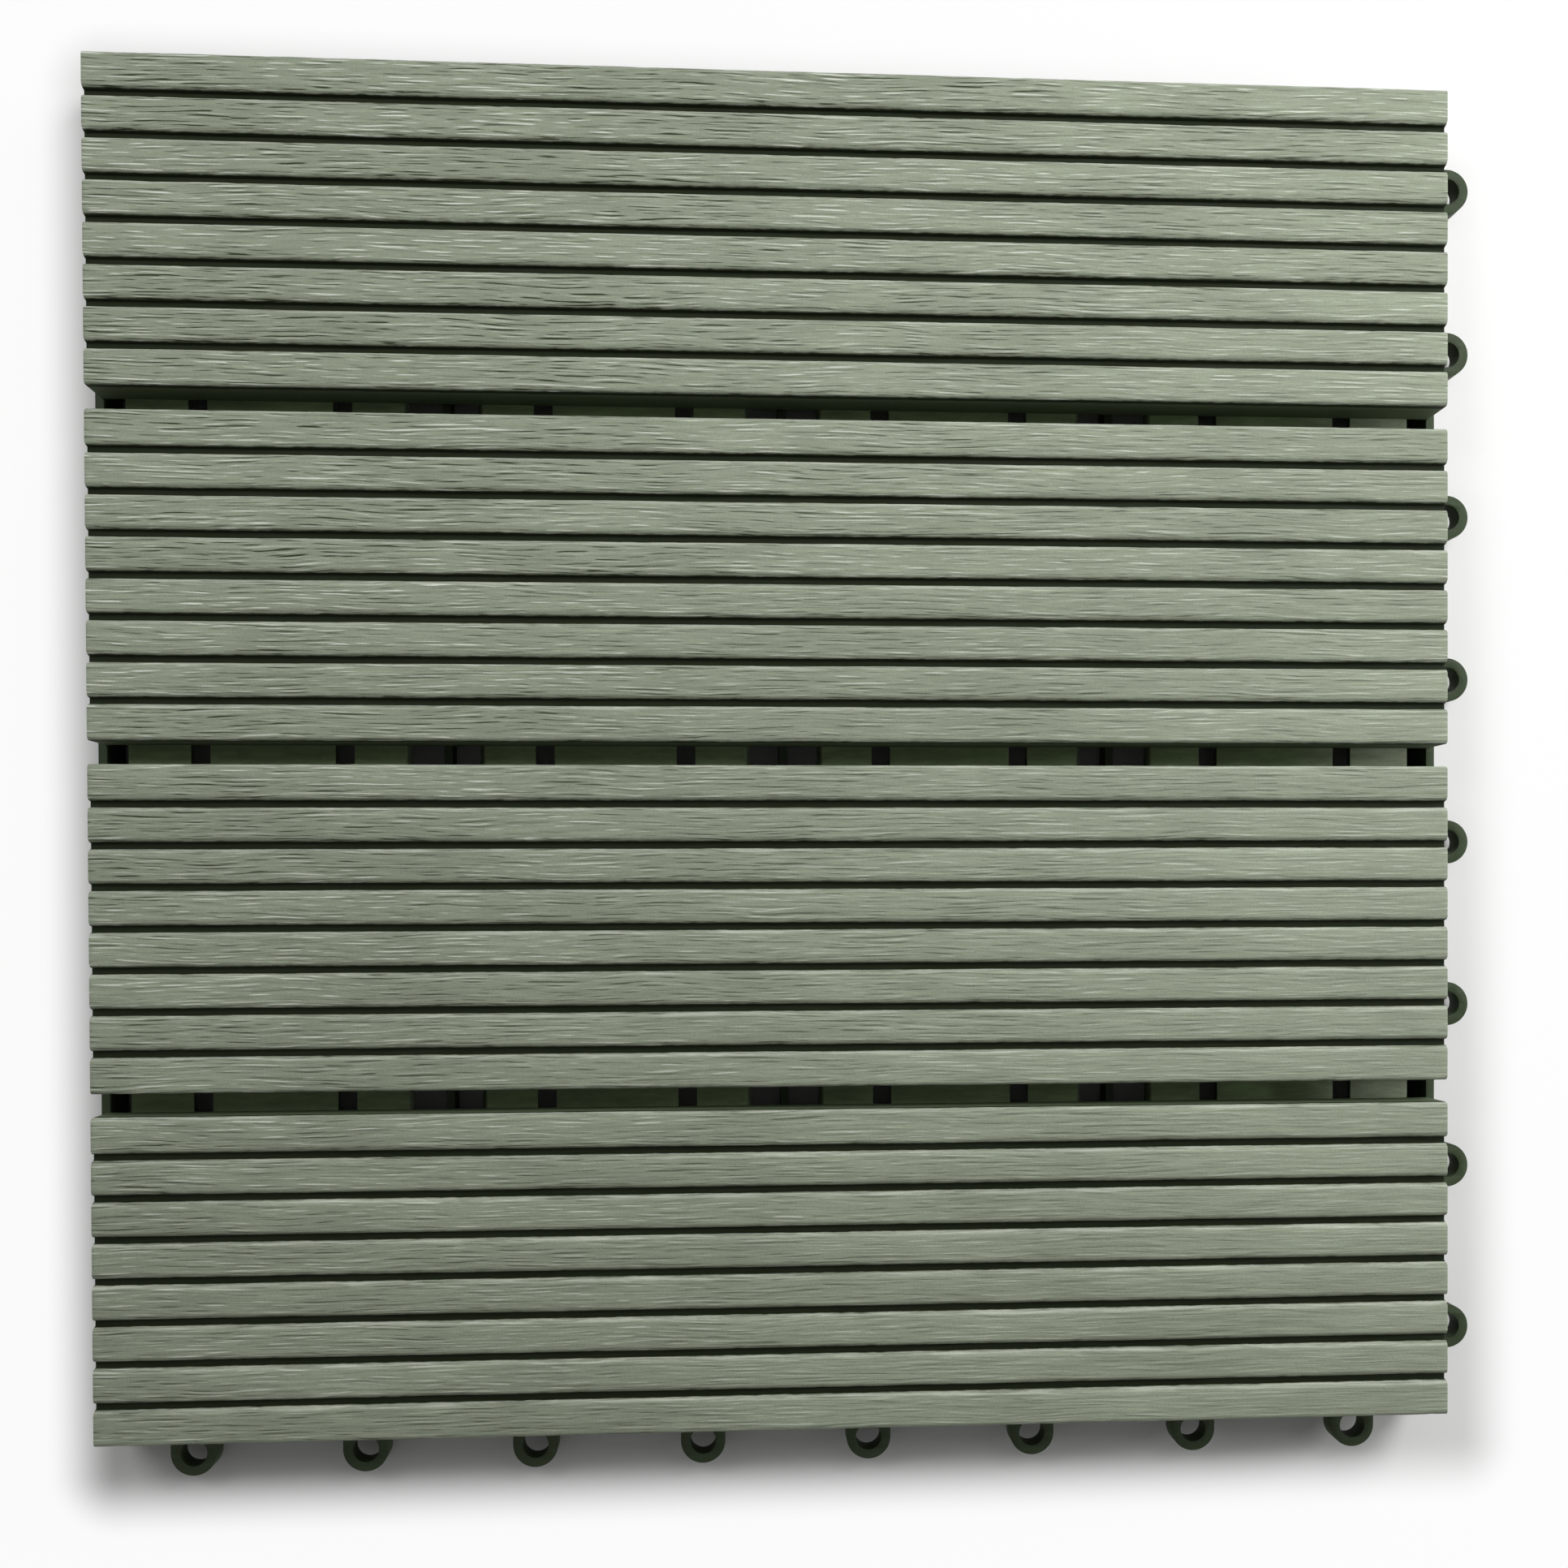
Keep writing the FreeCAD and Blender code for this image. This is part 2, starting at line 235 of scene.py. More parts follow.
class StageSettings(PropertyGroup):
    camera_place: FloatVectorProperty(
        name="Camera place",
        description="Where the camera stands",
        size=3,
        default=(-13.7 * MM, -34.8 * MM, 381.5 * MM),
        subtype="TRANSLATION",
        unit="LENGTH",
    )
    camera_turn: FloatVectorProperty(
        name="Camera turn",
        description="The camera's turn from looking straight down",
        size=3,
        default=[math.radians(a) for a in (-0.636, -3.746, -0.237)],
        subtype="EULER",
    )
    lens: FloatProperty(
        name="Lens", description="Focal length in millimetres", default=38.03, min=1.0
    )
    axis_px: FloatVectorProperty(
        name="Lens axis",
        description="Where the lens's axis meets the image, in its pixels from the upper left",
        size=2,
        default=(1024.5, 1149.0),
    )
    key_power: power("Key lamp", "from the far right", 2.6)
    top_power: power("Top lamp", "from overhead", 0.8)
    low_power: power("Low lamp", "along the gaps", 2.5)
    left_power: power("Left lamp", "from the left", 0.78)
    sky: FloatProperty(
        name="Sky", description="Strength of the light from all round", default=0.15, min=0.0
    )
    glow_clear: length("Glow clear", "How far past the tile the ground is left to the lamps", 1.0)
    glow_fade: length("Glow fade", "Width over which the white of the ground comes in", 16.0)


class DeckTileSettings(PropertyGroup):
    slat: PointerProperty(type=SlatSizes)
    base: PointerProperty(type=BaseSizes)
    screw: PointerProperty(type=ScrewSizes)
    finish: PointerProperty(type=FinishColours)
    stage: PointerProperty(type=StageSettings)


def settings():
    return bpy.context.scene.deck_tile


def new_object(name, data):
    thing = bpy.data.objects.new(name, data)
    bpy.context.scene.collection.objects.link(thing)
    return thing


# Meshes
def finish_piece(bm, name, nodes, material, smooth_angle=35.0):
    """Makes the mesh a piece that stands for the given frame nodes and rides on their body."""
    bmesh.ops.remove_doubles(bm, verts=bm.verts, dist=1e-7)
    mesh = bpy.data.meshes.new(name)
    bm.to_mesh(mesh)
    bm.free()
    mesh.polygons.foreach_set("use_smooth", [True] * len(mesh.polygons))
    mesh.set_sharp_from_angle(angle=math.radians(smooth_angle))
    mesh.materials.append(material)
    piece = new_object(name, mesh)
    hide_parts(*nodes)
    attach(piece, "root")


def bevel(bm, edges, offset, segments):
    bmesh.ops.bevel(
        bm,
        geom=list(edges),
        offset=offset,
        segments=segments,
        affect="EDGES",
        profile=0.5,
        material=-1,
        clamp_overlap=True,
    )


def runs_along(edge, axis):
    way = edge.verts[1].co - edge.verts[0].co
    return abs(way[axis]) > STRAIGHT * way.length


def groove_lines(low, high, sizes):
    middle = (low.y + high.y) / 2
    first = middle - (sizes.grooves - 1) / 2 * sizes.groove_pitch
    return [first + i * sizes.groove_pitch for i in range(sizes.grooves)]


def slat_bar(low, high, lines, sizes):
    """A slat with sharp edges: its grooved section, drawn along X."""
    bm = bmesh.new()
    corners = [(low.y, low.z), (high.y, low.z), (high.y, high.z), (low.y, high.z)]
    bm.faces.new([bm.verts.new((low.x, y, z)) for y, z in corners])
    half = sizes.groove_mouth / 2
    floor = high.z - sizes.groove_depth
    lean = half - sizes.groove_floor / 2
    cuts = [((0, 0, floor), (0, 0, 1))]
    for line in lines:
        for side in (-1, 1):
            cuts.append(((0, line + side * half, high.z), (0, sizes.groove_depth, -side * lean)))
    for point, across in cuts:
        geom = bm.verts[:] + bm.edges[:] + bm.faces[:]
        bmesh.ops.bisect_plane(bm, geom=geom, plane_co=point, plane_no=Vector(across).normalized())
    grooves = []
    for face in bm.faces:
        middle = face.calc_center_median()
        if middle.z > floor and min(abs(middle.y - line) for line in lines) < half / 2:
            grooves.append(face)
    bmesh.ops.delete(bm, geom=grooves, context="FACES")
    bmesh.ops.dissolve_limit(bm, angle_limit=math.radians(1), verts=bm.verts, edges=bm.edges)
    drawn = bmesh.ops.extrude_face_region(bm, geom=bm.faces[:])
    far_end = [g for g in drawn["geom"] if isinstance(g, bmesh.types.BMVert)]
    bmesh.ops.translate(bm, verts=far_end, vec=(high.x - low.x, 0, 0))
    bmesh.ops.recalc_face_normals(bm, faces=bm.faces)
    return bm


def wave(place, seed):
    """A wandering value of about -1 to 1 at a place along a lip, the same on every run."""
    return noise.noise(Vector((place, seed * SEED_STEPS[0], seed * SEED_STEPS[1])))


def wear_lips(bm, lines, sizes, low, high, seed):
    """Moves the lips of the grooves and of the slat's long edges to and fro, and nicks them."""
    half = sizes.groove_mouth / 2
    reach = half + LIP_REACH * sizes.lip_round
    edges = (low.y, high.y)
    for vert in bm.verts:
        depth = high.z - vert.co.z
        if depth > WEAR_DEPTH * sizes.groove_depth:
            continue
        hold = 1.0 - depth / sizes.groove_depth
        lip = min(lines, key=lambda y: abs(vert.co.y - y))
        off = vert.co.y - lip
        outward = False
        if abs(off) > reach:
            lip = min(edges, key=lambda y: abs(vert.co.y - y))
            off = vert.co.y - lip
            if abs(off) > reach:
                continue
            outward = True
        side = math.copysign(1.0, off)
        key = seed * SLAT_SEED + lip * LIP_SEED + side * SIDE_SEED
        slow = wave(vert.co.x / sizes.wander_length, key) * sizes.lip_wander
        nick = wave(vert.co.x / sizes.fray_length, key + NICK_SEED) - NICK_FROM
        nick = max(0.0, nick) * NICK_GAIN * sizes.fray
        shift = side * nick + (abs(slow) * side if outward else slow)
        vert.co.y += shift * hold
        vert.co.z -= (abs(slow) * WANDER_DROP + nick * NICK_DROP) * hold


def rib_corners(bm, sizes, high):
    """Upright edges at the ends of the ribs, and the slat's own four."""
    end = high.x - TOUCHING
    corners = []
    for edge in bm.edges:
        at_end = all(abs(v.co.x) > end for v in edge.verts)
        height = abs(edge.verts[0].co.z - edge.verts[1].co.z)
        rises = height > sizes.groove_depth * UPRIGHT_SHARE
        if at_end and rises and edge.is_manifold and edge.calc_face_angle(0) > RIB_TURN:
            corners.append(edge)
    return corners


def make_slat(node, sizes, material, number):
    low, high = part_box(node)
    low, high = Vector(low), Vector(high)
    top = high.z
    lines = groove_lines(low, high, sizes)
    bm = slat_bar(low, high, lines, sizes)
    outer = [e for e in bm.edges if runs_along(e, 0) and e.verts[0].co.z > top - EDGE_BAND]
    bevel(bm, outer, sizes.edge_round, segments=5)
    bevel(bm, rib_corners(bm, sizes, high), sizes.corner_round, segments=3)
    lips = [
        e
        for e in bm.edges
        if e.is_manifold
        and e.calc_face_angle(0) > LIP_TURN
        and all(v.co.z > top - TOUCHING for v in e.verts)
    ]
    bevel(bm, lips, sizes.lip_round, segments=3)
    whole = high.x - low.x
    cuts = max(1, round(whole / sizes.slice_length)) - 1
    long_edges = [e for e in bm.edges if runs_along(e, 0) and e.calc_length() > LONG_SHARE * whole]
    bmesh.ops.subdivide_edges(bm, edges=long_edges, cuts=cuts, use_grid_fill=True)
    wear_lips(bm, lines, sizes, low, high, number)
    bmesh.ops.recalc_face_normals(bm, faces=bm.faces)
    finish_piece(bm, "brushed_" + node, [node], material)


def frame_copy(node):
    """A mesh of a frame node as it stands in the frame."""
    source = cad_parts[node]
    bm = bmesh.new()
    bm.from_mesh(source.data)
    bmesh.ops.transform(bm, matrix=source.matrix_world, verts=bm.verts)
    return bm


def make_base(sizes, material):
    bm = frame_copy("base_grid")
    bmesh.ops.remove_doubles(bm, verts=bm.verts, dist=sizes.merge_gap)
    bmesh.ops.dissolve_limit(
        bm,
        angle_limit=math.radians(0.5),
        verts=bm.verts,
        edges=bm.edges,
        use_dissolve_boundaries=False,
    )
    sharp = [e for e in bm.edges if e.is_manifold and e.calc_face_angle(0) > BASE_TURN]
    bevel(bm, sharp, sizes.edge_round, segments=2)
    finish_piece(
        bm, "base_moulding", ["base_grid"], material, smooth_angle=30.0
    )


def screw_stations():
    """Each screw's centre seen from above, and how low and high it reaches, from the frame."""
    bm = frame_copy("slat_screws")
    bmesh.ops.remove_doubles(bm, verts=bm.verts, dist=SCREW_MERGE)
    stations, seen = [], set()
    for start in bm.verts:
        if start in seen:
            continue
        island, queue = [], [start]
        seen.add(start)
        while queue:
            vert = queue.pop()
            island.append(vert.co.copy())
            for edge in vert.link_edges:
                other = edge.other_vert(vert)
                if other not in seen:
                    seen.add(other)
                    queue.append(other)
        xs, ys, zs = zip(*island)
        stations.append(((min(xs) + max(xs)) / 2, (min(ys) + max(ys)) / 2, min(zs), max(zs)))
    bm.free()
    return stations


def ring(bm, loop, r, z):
    """Extrudes a closed loop of edges to a level circle of radius r at height z."""
    made = bmesh.ops.extrude_edge_only(bm, edges=loop)
    edges = [g for g in made["geom"] if isinstance(g, bmesh.types.BMEdge) and g.is_boundary]
    for vert in {v for e in edges for v in e.verts}:
        flat = Vector((vert.co.x, vert.co.y)).normalized() * r
        vert.co = Vector((flat.x, flat.y, z))
    return edges


def screw_mesh(sizes, low, high):
    """One screw on its head at the origin: a recessed pan head, a core and its thread."""
    plate_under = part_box("base_grid")[1].z - settings().base.plate_thick - low
    bm = bmesh.new()
    cells = 5
    half = sizes.recess_span / 2
    bmesh.ops.create_grid(bm, x_segments=cells, y_segments=cells, size=half)
    step = 2 * half / cells
    squeeze = sizes.recess_width / step
    for vert in bm.verts:
        for axis in (0, 1):
            if abs(vert.co[axis]) < step:
                vert.co[axis] *= squeeze
    cross = []
    for face in bm.faces:
        middle = face.calc_center_median()
        if min(abs(middle.x), abs(middle.y)) < step / 2:
            cross.append(face)
    rim = [e for e in bm.edges if e.is_boundary]
    sunk = bmesh.ops.extrude_face_region(bm, geom=cross)
    bmesh.ops.delete(bm, geom=cross, context="FACES")
    for vert in [g for g in sunk["geom"] if isinstance(g, bmesh.types.BMVert)]:
        inward = (vert.co.x * RECESS_TAPER, vert.co.y * RECESS_TAPER)
        vert.co = Vector((*inward, sizes.recess_depth))
    face_r = sizes.head_r - sizes.crown * CROWN_REACH
    circle = ring(bm, rim, face_r, 0.0)
    for turn in CROWN_TURNS:
        a = math.radians(turn)
        r = face_r + (sizes.head_r - face_r) * math.sin(a)
        circle = ring(bm, circle, r, sizes.crown * (1 - math.cos(a)))
    circle = ring(bm, circle, sizes.head_r, plate_under)
    circle = ring(bm, circle, sizes.core_r, plate_under)
    circle = ring(bm, circle, sizes.core_r, high - low - sizes.point)
    circle = ring(bm, circle, TIP_R, high - low)
    bmesh.ops.contextual_create(bm, geom=circle)
    bmesh.ops.recalc_face_normals(bm, faces=bm.faces)
    add_thread(bm, sizes, plate_under + THREAD_START, high - low - sizes.point)
    return bm


def add_thread(bm, sizes, start, end):
    """A ridge of triangular section wound round the core."""
    root = sizes.core_r * THREAD_ROOT
    rise = sizes.thread_pitch * THREAD_HALF
    points = [(root, -rise), (sizes.thread_r, 0.0), (root, rise)]
    verts = [bm.verts.new((r, 0, start + rise + z)) for r, z in points]
    edges = [bm.edges.new((verts[0], verts[1])), bm.edges.new((verts[1], verts[2]))]
    turns = (end - start - 2 * rise) / sizes.thread_pitch
    steps = round(turns * THREAD_STEPS)
    bmesh.ops.spin(
        bm,
        geom=verts + edges,
        cent=(0, 0, 0),
        axis=(0, 0, 1),
        dvec=(0, 0, sizes.thread_pitch * turns / steps),
        angle=2 * math.pi * turns,
        steps=steps,
        use_merge=False,
    )


def make_screws(sizes, material):
    stations = screw_stations()
    low, high = stations[0][2], stations[0][3]
    one = screw_mesh(sizes, low, high)
    pattern = bpy.data.meshes.new("screw_pattern")
    one.to_mesh(pattern)
    one.free()
    bm = bmesh.new()
    for number, (x, y, z, _) in enumerate(stations):
        before = len(bm.verts)
        bm.from_mesh(pattern)
        bm.verts.ensure_lookup_table()
        turn = Matrix.Rotation(number * SCREW_TURN, 4, "Z")
        place = Matrix.Translation((x, y, z)) @ turn
        bmesh.ops.transform(bm, matrix=place, verts=bm.verts[before:])
    bpy.data.meshes.remove(pattern)
    finish_piece(bm, "plated_screws", ["slat_screws"], material)


# Shader helpers
def wire(tree, source, target):
    tree.links.new(source, target)


def add(tree, kind, **values):
    node = tree.nodes.new("ShaderNode" + kind)
    for name, value in values.items():
        setattr(node, name, value)
    return node


def math_node(tree, operation, a, b, clamp=False):
    node = add(tree, "Math", operation=operation, use_clamp=clamp)
    for socket, value in zip(node.inputs, (a, b)):
        if isinstance(value, (int, float)):
            socket.default_value = value
        else:
            wire(tree, value, socket)
    return node.outputs[0]


def plus(tree, a, b):
    return math_node(tree, "ADD", a, b)


def times(tree, a, b, clamp=False):
    return math_node(tree, "MULTIPLY", a, b, clamp)


def axes_of(tree, vector):
    """A vector's X, Y and Z."""
    axes = add(tree, "SeparateXYZ")
    wire(tree, vector, axes.inputs[0])
    return axes.outputs


def seen_rays(tree):
    """One for what is seen, straight or by way of gloss or glass, and zero for light."""
    rays = add(tree, "LightPath").outputs
    seen = math_node(tree, "MAXIMUM", rays["Is Camera Ray"], rays["Is Glossy Ray"])
    return math_node(tree, "MAXIMUM", seen, rays["Is Transmission Ray"])


def remap(tree, value, low, high, to_low=0.0, to_high=1.0, smooth=False):
    node = add(tree, "MapRange", interpolation_type="SMOOTHSTEP" if smooth else "LINEAR")
    wire(tree, value, node.inputs["Value"])
    node.inputs["From Min"].default_value = low
    node.inputs["From Max"].default_value = high
    node.inputs["To Min"].default_value = to_low
    node.inputs["To Max"].default_value = to_high
    return node.outputs["Result"]


def blend_colour(tree, mask, a, b, mode="MIX"):
    node = add(tree, "Mix", data_type="RGBA", blend_type=mode)
    for socket, value in ((node.inputs[0], mask), (node.inputs[6], a), (node.inputs[7], b)):
        if isinstance(value, (int, float)):
            socket.default_value = value
        elif isinstance(value, bpy.types.NodeSocket):
            wire(tree, value, socket)
        else:
            socket.default_value = (*value, 1.0)
    return node.outputs[2]


def noise_at(
    tree, place, scale, detail=3.0, roughness=0.5, distortion=0.0, shift=(0.0, 0.0, 0.0)
):
    """Noise over a place. Scale is cells a metre along X, Y and Z, and shift is cells."""
    mapping = add(tree, "Mapping")
    mapping.inputs["Location"].default_value = shift
    mapping.inputs["Scale"].default_value = scale
    wire(tree, place, mapping.inputs["Vector"])
    field = add(tree, "TexNoise", noise_dimensions="3D")
    field.inputs["Scale"].default_value = 1.0
    field.inputs["Detail"].default_value = detail
    field.inputs["Roughness"].default_value = roughness
    field.inputs["Distortion"].default_value = distortion
    wire(tree, mapping.outputs[0], field.inputs["Vector"])
    return field.outputs["Fac"]


def new_group(name, inputs, outputs):
    tree = bpy.data.node_groups.new(name, "ShaderNodeTree")
    for label, kind in inputs:
        tree.interface.new_socket(label, in_out="INPUT", socket_type=kind)
    for label, kind in outputs:
        tree.interface.new_socket(label, in_out="OUTPUT", socket_type=kind)
    return tree, tree.nodes.new("NodeGroupInput"), tree.nodes.new("NodeGroupOutput")


def speckle_group():
    """Fine grain and soft patches, which every material carries."""
    found = bpy.data.node_groups.get("surface_speckle")
    if found:
        return found
    floats = "NodeSocketFloat"
    tree, into, out = new_group(
        "surface_speckle",
        [("Place", "NodeSocketVector"), ("Grain Scale", floats), ("Patch Scale", floats)],
        [("Grain", floats), ("Patches", floats)],
    )
    for label, source, detail in (("Grain", "Grain Scale", 2.0), ("Patches", "Patch Scale", 3.0)):
        field = add(tree, "TexNoise", noise_dimensions="3D")
        field.inputs["Detail"].default_value = detail
        wire(tree, into.outputs["Place"], field.inputs["Vector"])
        wire(tree, into.outputs[source], field.inputs["Scale"])
        wire(tree, field.outputs["Fac"], out.inputs[label])
    return tree


def new_material(name):
    material = bpy.data.materials.new(name)
    material.use_nodes = True
    tree = material.node_tree
    shader = tree.nodes["Principled BSDF"]
    place = add(tree, "TexCoord").outputs["Object"]
    return material, tree, shader, place


def add_speckle(tree, place, grain, patches):
    group = tree.nodes.new("ShaderNodeGroup")
    group.node_tree = speckle_group()
    wire(tree, place, group.inputs["Place"])
    group.inputs["Grain Scale"].default_value = grain
    group.inputs["Patch Scale"].default_value = patches
    return group.outputs["Grain"], group.outputs["Patches"]


def add_bump(tree, shader, height, distance, strength):
    bump = add(tree, "Bump")
    bump.inputs["Strength"].default_value = strength
    bump.inputs["Distance"].default_value = distance
    wire(tree, height, bump.inputs["Height"])
    wire(tree, bump.outputs["Normal"], shader.inputs["Normal"])


def beyond_square(tree, place, half):
    """Distance of a place from an upright square column round the origin."""
    steps = (("MULTIPLY", (1.0, 1.0, 0.0)), ("ABSOLUTE", None), ("SUBTRACT", (half, half, 0.0)))
    steps += (("MAXIMUM", (0.0, 0.0, 0.0)), ("LENGTH", None))
    for operation, operand in steps:
        step = add(tree, "VectorMath", operation=operation)
        wire(tree, place, step.inputs[0])
        if operand:
            step.inputs[1].default_value = operand
        place = step.outputs["Value" if operation == "LENGTH" else "Vector"]
    return place


def scale_colour(tree, source, factor):
    """Multiplies a colour by one grey value."""
    grey = add(tree, "CombineColor")
    for socket in grey.inputs[:3]:
        wire(tree, factor, socket)
    return blend_colour(tree, 1.0, source, grey.outputs[0], "MULTIPLY")


def composite_material(finish):
    """Brushed wood-plastic: pale and dark streaks, partly painted highlight and shade, a skin in
    the grooves darkened further as painted shade, and painted highlights on the walls and lips that
    face +Y.
    """
    material, tree, shader, place = new_material("brushed_composite")
    sway = remap(tree, noise_at(tree, place, SWAY_CELLS, 1.0), *SPREAD, -SWAY, SWAY)
    swayed = add(tree, "CombineXYZ")
    wire(tree, sway, swayed.inputs["Y"])
    along = add(tree, "VectorMath", operation="ADD")
    wire(tree, place, along.inputs[0])
    wire(tree, swayed.outputs[0], along.inputs[1])
    along = along.outputs["Vector"]
    fibres = noise_at(tree, along, FIBRE_CELLS, 4.0, 0.62)
    ridge = noise_at(tree, along, STREAK_CELLS, 1.6, 0.5, 0.15)
    hollow = noise_at(tree, along, STREAK_CELLS, 1.6, 0.5, 0.15, shift=(0.0, 0.5, 0.0))
    slope = math_node(tree, "SUBTRACT", ridge, hollow)
    clouds = noise_at(tree, place, CLOUD_CELLS, 3.0, 0.6)
    grain, patches = add_speckle(tree, place, 2600.0, 14.0)
    low, high = ([c * share for c in finish.brushed] for share in FIBRE_TONES)
    tone = blend_colour(tree, remap(tree, fibres, 0.34, 0.66), low, high)
    uneven = remap(tree, patches, *SPREAD, *UNEVEN)
    uneven = times(tree, uneven, remap(tree, clouds, *TIGHT, *UNEVEN))
    tone = scale_colour(tree, tone, uneven)
    axes = axes_of(tree, place)
    corner = math_node(tree, "SUBTRACT", axes["X"], axes["Y"])
    depth = remap(tree, corner, *STREAK_REACH, *STREAK_DEPTH)
    # Pale and dark streaks in pairs side by side: partly real pale fibres and scratches, partly
    # painted highlight and shade of raised fibres
    pale = times(tree, remap(tree, slope, *PALE_SLOPE), remap(tree, clouds, 0.4, 0.58, 0.35, 1.0))
    dark = times(tree, remap(tree, slope, *DARK_SLOPE), remap(tree, clouds, 0.6, 0.42, 0.4, 1.0))
    pale = times(tree, pale, depth, clamp=True)
    dark = times(tree, dark, depth, clamp=True)
    tone = blend_colour(tree, pale, tone, finish.pale_fibre_and_highlight)
    tone = blend_colour(tree, dark, tone, finish.fibre_dark)
    ragged = remap(tree, noise_at(tree, place, RAGGED_CELLS), *SPREAD, -RAGGED, RAGGED)
    level = plus(tree, axes["Z"], ragged)
    facing = axes_of(tree, add(tree, "NewGeometry").outputs["Normal"])
    # Painted light: walls that face +Y keep the paler brushed tone 0.4 mm further down into the
    # grooves
    painted_lit_wall = remap(tree, facing["Y"], 0.3, 1.0, 0.0, 0.4 * MM)
    level = plus(tree, level, painted_lit_wall)
    # Painted highlight: paler fibre colour on the lips and walls that face +Y, broken up by the
    # fibres
    wear_and_sheen = remap(tree, fibres, 0.42, 0.62, 0.0, 0.45)
    lip = times(tree, remap(tree, facing["Y"], 0.25, 0.65), wear_and_sheen)
    tone = blend_colour(tree, lip, tone, finish.pale_fibre_and_highlight)
    # Unbrushed skin below the deck's surface: dark in the grooves as painted shade, the lighter
    # flank colour further down the sides
    skin = remap(tree, level, *SKIN_AND_SHADE_BAND, smooth=True)
    flank = remap(tree, level, *FLANK_BAND, smooth=True)
    unbrushed_and_groove_shade = blend_colour(tree, flank, finish.skin, finish.flank)
    tone = blend_colour(tree, skin, tone, unbrushed_and_groove_shade)
    tone = scale_colour(tree, tone, remap(tree, grain, *SPREAD, *UNEVEN))
    wire(tree, tone, shader.inputs["Base Color"])
    wire(tree, remap(tree, fibres, *SPREAD, 0.62, 0.84), shader.inputs["Roughness"])
    shader.inputs["Specular IOR Level"].default_value = MATT
    relief = plus(tree, times(tree, fibres, 0.6), ridge)
    relief = plus(tree, relief, times(tree, grain, 0.25))
    add_bump(tree, shader, relief, 0.16 * MM, 0.9)
    return material


def plastic_material(finish):
    """Moulded base plastic: a fine matt texture, soft flow marks and scuffs, and painted light on
    the plate in the drain gaps, palest at their right ends.
    """
    material, tree, shader, place = new_material("moulded_plastic")
    grain, patches = add_speckle(tree, place, 1500.0, 40.0)
    scuff = noise_at(tree, place, SCUFF_CELLS, 4.0, 0.65)
    wear_and_sheen = times(tree, remap(tree, scuff, 0.52, 0.74), remap(tree, grain, *TIGHT, 0.3, 1.0))
    wear_and_sheen = plus(tree, times(tree, wear_and_sheen, 0.55), remap(tree, patches, 0.4, 0.7, 0.0, 0.22))
    tone = blend_colour(tree, wear_and_sheen, finish.plastic, finish.plastic_worn)
    axes = axes_of(tree, place)
    facing = axes_of(tree, add(tree, "NewGeometry").outputs["Normal"])
    # Painted light: the plate's upward faces in the drain gaps, inside the tile, are paler in
    # patches
    painted_gap_light = times(tree, remap(tree, axes["Z"], *GAP_LIGHT_BAND), remap(tree, facing["Z"], 0.6, 0.95))
    painted_gap_light = times(tree, painted_gap_light, remap(tree, scuff, *SPREAD, 0.45, 0.9))
    inside = remap(tree, beyond_square(tree, place, CAD_BOX[1].y - GAP_LIGHT_MARGIN), 1.0 * MM, 0.0)
    painted_gap_light = times(tree, painted_gap_light, inside)
    # Painted light, palest towards the right ends of the gaps
    painted_end_light = remap(tree, axes["X"], *END_LIGHT_BAND, 0.0, 0.85, smooth=True)
    tone = blend_colour(tree, painted_gap_light, tone, blend_colour(tree, painted_end_light, finish.painted_gap_light, finish.painted_end_light))
    wire(tree, tone, shader.inputs["Base Color"])
    wire(tree, remap(tree, patches, *SPREAD, 0.46, 0.66), shader.inputs["Roughness"])
    shader.inputs["Specular IOR Level"].default_value = MATT
    relief = plus(tree, grain, times(tree, scuff, 0.5))
    add_bump(tree, shader, relief, 0.06 * MM, 0.6)
    return material


def steel_material(finish):
    """Zinc plate with tool marks and dull patches."""
    material, tree, shader, place = new_material("plated_steel")
    grain, patches = add_speckle(tree, place, 3000.0, 500.0)
    dull = [c * 0.72 for c in finish.steel]
    tone = blend_colour(tree, remap(tree, patches, *TIGHT), dull, finish.steel)
    wire(tree, tone, shader.inputs["Base Color"])
    wire(tree, remap(tree, grain, *SPREAD, 0.28, 0.5), shader.inputs["Roughness"])
    shader.inputs["Metallic"].default_value = 1.0
    add_bump(tree, shader, grain, 0.02 * MM, 0.5)
    return material


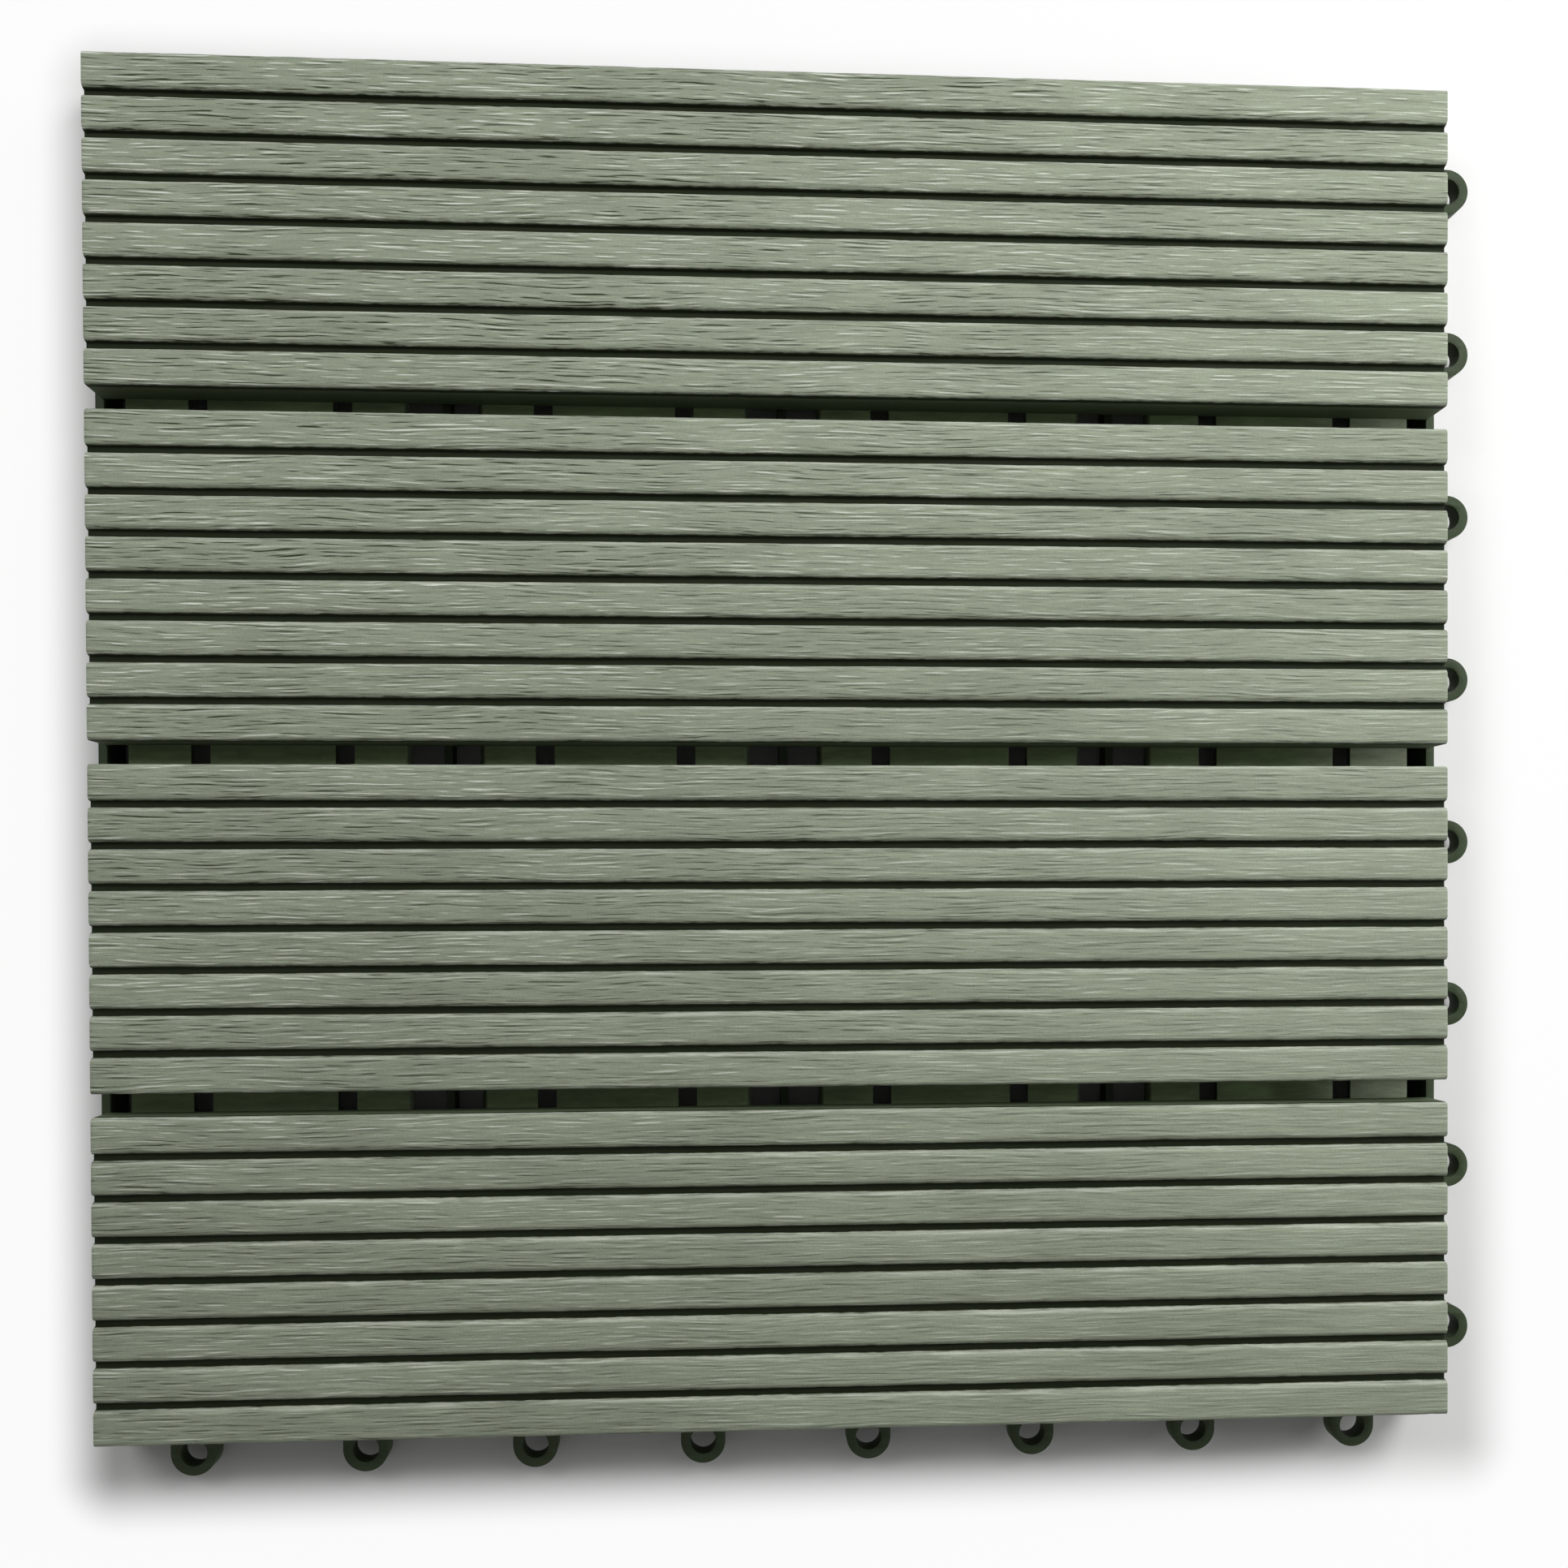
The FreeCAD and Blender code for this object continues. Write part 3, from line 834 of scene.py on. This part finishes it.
def ground_material(finish, stage):
    """Plain pale ground, seen as white further out, with the tile's own shadow round it.

    It has one side only, so that the underside can be looked at.
    """
    material, tree, shader, place = new_material("pale_ground")
    grain, patches = add_speckle(tree, place, 260.0, 4.0)
    near = [min(1.0, c * 1.02) for c in finish.ground]
    tone = blend_colour(tree, remap(tree, patches, *TIGHT), finish.ground, near)
    wire(tree, tone, shader.inputs["Base Color"])
    wire(tree, remap(tree, grain, *SPREAD, 0.86, 0.96), shader.inputs["Roughness"])
    shader.inputs["Specular IOR Level"].default_value = 0.1
    glow = add(tree, "Emission")
    glow.inputs["Color"].default_value = (1.0, 1.0, 1.0, 1.0)
    glow.inputs["Strength"].default_value = 1.0
    centred = add(tree, "VectorMath", operation="SUBTRACT")
    wire(tree, place, centred.inputs[0])
    centred.inputs[1].default_value = (CAD_BOX[0] + CAD_BOX[1]) / 2
    half = (CAD_BOX[1].x - CAD_BOX[0].x) / 2
    out = beyond_square(tree, centred.outputs["Vector"], half + stage.glow_clear)
    white = remap(tree, out, 0.0, stage.glow_fade, 0.0, WHITE_NEAR, smooth=True)
    white = plus(tree, white, remap(tree, out, *WHITE_REST, 0.0, 1.0 - WHITE_NEAR))
    lit = add(tree, "MixShader")
    wire(tree, times(tree, seen_rays(tree), white), lit.inputs[0])
    wire(tree, shader.outputs[0], lit.inputs[1])
    wire(tree, glow.outputs[0], lit.inputs[2])
    one_sided = add(tree, "MixShader")
    wire(tree, add(tree, "NewGeometry").outputs["Backfacing"], one_sided.inputs[0])
    wire(tree, lit.outputs[0], one_sided.inputs[1])
    wire(tree, add(tree, "BsdfTransparent").outputs[0], one_sided.inputs[2])
    wire(tree, one_sided.outputs[0], tree.nodes["Material Output"].inputs["Surface"])
    return material


# Stage
def add_lamp(name, place, face, watts):
    """A soft lamp with an oval face, turned to the middle of the tile."""
    data = bpy.data.lights.new(name, "AREA")
    data.shape = "ELLIPSE"
    data.size, data.size_y = face
    data.energy = watts
    lamp = new_object(name, data)
    lamp.location = place
    lamp.rotation_euler = (-Vector(place)).to_track_quat("-Z", "Y").to_euler()


def add_camera(stage):
    data = bpy.data.cameras.new("photo_camera")
    data.lens = stage.lens
    data.sensor_width = SENSOR_MM
    data.shift_x = (IMAGE_PX / 2 - stage.axis_px[0]) / IMAGE_PX
    data.shift_y = (stage.axis_px[1] - IMAGE_PX / 2) / IMAGE_PX
    data.clip_start = 0.01
    camera = new_object("photo_camera", data)
    camera.location = stage.camera_place
    camera.rotation_euler = Euler(stage.camera_turn)
    bpy.context.scene.camera = camera


def add_ground(material):
    bm = bmesh.new()
    bmesh.ops.create_grid(bm, x_segments=4, y_segments=4, size=GROUND_HALF)
    bmesh.ops.translate(bm, verts=bm.verts, vec=(0, 0, CAD_BOX[0].z))
    mesh = bpy.data.meshes.new("ground")
    bm.to_mesh(mesh)
    bm.free()
    mesh.materials.append(material)
    ground = new_object("ground", mesh)


def light_world(strength):
    world = bpy.context.scene.world or bpy.data.worlds.new("soft_sky")
    bpy.context.scene.world = world
    world.use_nodes = True
    tree = world.node_tree
    background = tree.nodes["Background"]
    background.inputs["Color"].default_value = (1.0, 1.0, 1.0, 1.0)
    shown = remap(tree, seen_rays(tree), 0.0, 1.0, strength, 1.0)
    wire(tree, shown, background.inputs["Strength"])


# Operators
class DECKTILE_OT_slats(Operator):
    """Model the four brushed composite slats"""

    bl_idname = "deck_tile.slats"
    bl_label = "Brushed Slats"

    def execute(self, context):
        material = composite_material(settings().finish)
        for number, node in enumerate(SLAT_NODES):
            make_slat(node, settings().slat, material, number)
        return {"FINISHED"}


class DECKTILE_OT_base(Operator):
    """Finish the moulded base: loops, pegs, ribs and plate"""

    bl_idname = "deck_tile.base"
    bl_label = "Moulded Base"

    def execute(self, context):
        make_base(settings().base, plastic_material(settings().finish))
        return {"FINISHED"}


class DECKTILE_OT_screws(Operator):
    """Model the screws that hold the slats from below"""

    bl_idname = "deck_tile.screws"
    bl_label = "Plated Screws"

    def execute(self, context):
        make_screws(settings().screw, steel_material(settings().finish))
        return {"FINISHED"}


class DECKTILE_OT_stage(Operator):
    """Set up the ground, the lamps, the sky and the camera"""

    bl_idname = "deck_tile.stage"
    bl_label = "Stage"

    def execute(self, context):
        stage = settings().stage
        add_ground(ground_material(settings().finish, stage))
        for name, place, face, setting in LAMPS:
            add_lamp(name, place, face, getattr(stage, setting))
        light_world(stage.sky)
        add_camera(stage)
        return {"FINISHED"}


class DECKTILE_PT_panel(Panel):
    bl_label = "Deck Tile"
    bl_idname = "DECKTILE_PT_panel"
    bl_space_type = "VIEW_3D"
    bl_region_type = "UI"
    bl_category = "Deck Tile"

    def draw(self, context):
        for kind in OPERATORS:
            self.layout.operator(kind.bl_idname)
        for group in ("slat", "base", "screw", "finish", "stage"):
            box = self.layout.box()
            box.label(text=group.capitalize())
            values = getattr(context.scene.deck_tile, group)
            for name in values.__annotations__:
                box.prop(values, name)


GROUPS = (SlatSizes, BaseSizes, ScrewSizes, FinishColours, StageSettings, DeckTileSettings)
OPERATORS = (DECKTILE_OT_slats, DECKTILE_OT_base, DECKTILE_OT_screws, DECKTILE_OT_stage)


def register():
    for kind in GROUPS + OPERATORS + (DECKTILE_PT_panel,):
        bpy.utils.register_class(kind)
    bpy.types.Scene.deck_tile = PointerProperty(type=DeckTileSettings)


def unregister():
    del bpy.types.Scene.deck_tile
    for kind in reversed(GROUPS + OPERATORS + (DECKTILE_PT_panel,)):
        bpy.utils.unregister_class(kind)


def main():
    register()
    scene = bpy.context.scene
    scene.view_settings.view_transform = "Standard"
    bpy.ops.deck_tile.slats()
    bpy.ops.deck_tile.base()
    bpy.ops.deck_tile.screws()
    bpy.ops.deck_tile.stage()


if __name__ == "__main__":
    main()
